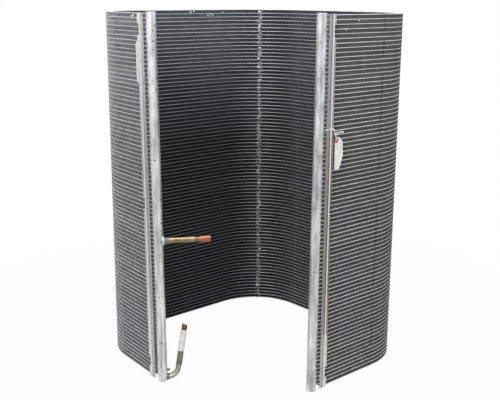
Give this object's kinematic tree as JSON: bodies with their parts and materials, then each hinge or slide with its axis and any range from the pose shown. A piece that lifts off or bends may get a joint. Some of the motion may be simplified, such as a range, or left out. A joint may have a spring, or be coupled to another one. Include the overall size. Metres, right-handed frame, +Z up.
{
  "type": "condenser coil",
  "caption": "Tall microchannel condenser coil bent round three corners of a square, with an upright header tube at each end of the finned wall and pipe stubs on one header.",
  "frame": {"origin": "on the floor under the middle of the coil's bounding box, level with the headers' feet", "axes": "+Z up along the headers; the open corner faces -X and -Y; the closed back corner is at +X and +Y"},
  "size_m": [0.6038, 0.5946, 0.8517],
  "materials": {
    "core_metal": "dull brazed aluminium, grey fins and paler tube noses",
    "header_metal": "satin, mottled silver",
    "strip_metal": "satin sheet",
    "plate_metal": "satin sheet",
    "boss_metal": "dull, heat-tinted",
    "gold_pipe": "golden, slightly dull",
    "copper": "bare copper, slightly dull",
    "braze": "dark braze",
    "elbow_metal": "satin",
    "sleeve": "matte grey-green",
    "label": "matte white, blank",
    "tag_card": "matte, blank",
    "eyelet": "matte reddish brown",
    "wire": "dull steel"
  },
  "bodies": {
    "root": {"finned_core": "core_metal", "top_side_plate": "plate_metal", "bottom_side_plate": "plate_metal", "left_header": "header_metal", "right_header": "header_metal", "left_header_top_cap": "header_metal", "left_header_bottom_cap": "header_metal", "right_header_top_cap": "header_metal", "right_header_bottom_cap": "header_metal", "left_header_separator": "header_metal", "left_edge_strip": "strip_metal", "right_edge_strip": "strip_metal", "inlet_boss": "boss_metal", "inlet_pipe": "gold_pipe", "inlet_ring": "braze", "inlet_socket": "copper", "liquid_elbow": "elbow_metal", "liquid_tail": "copper", "joint_sleeve": "sleeve", "label_wrap": "label", "header_nub": "boss_metal", "hang_tag": "tag_card", "tag_eyelet": "eyelet", "tag_wire": "wire"}
  },
  "joints": []
}
